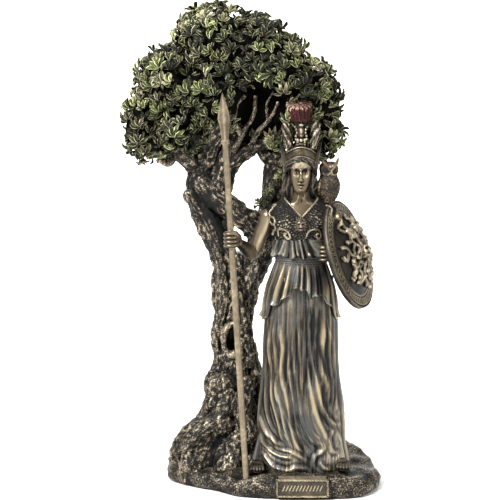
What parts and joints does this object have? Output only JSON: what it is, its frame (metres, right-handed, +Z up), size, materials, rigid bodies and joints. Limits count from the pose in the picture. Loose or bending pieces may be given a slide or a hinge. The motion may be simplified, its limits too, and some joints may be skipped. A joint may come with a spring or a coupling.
{
  "type": "athena statue",
  "caption": "Standing robed goddess with crested helmet, spear, snake shield and owl, before a leafy olive tree on a rocky plinth with a name plate, cold-cast bronze figurine.",
  "frame": {"origin": "middle of the flat underside of the plinth", "axes": "+Z up, the goddess faces -Y, +X to the right of one who looks at her, on her left hand with the shield"},
  "size_m": [0.1612, 0.0907, 0.2913],
  "materials": {
    "antiqued_bronze_resin": "cold-cast bronze resin, dark antique wash, gold and tan dry-brushing, painted leaves and crest",
    "pale_bronze_resin": "cold-cast bronze resin, pale tan dry-brushed satin"
  },
  "bodies": {
    "root": {"statue": "antiqued_bronze_resin", "spear": "pale_bronze_resin"}
  },
  "joints": []
}
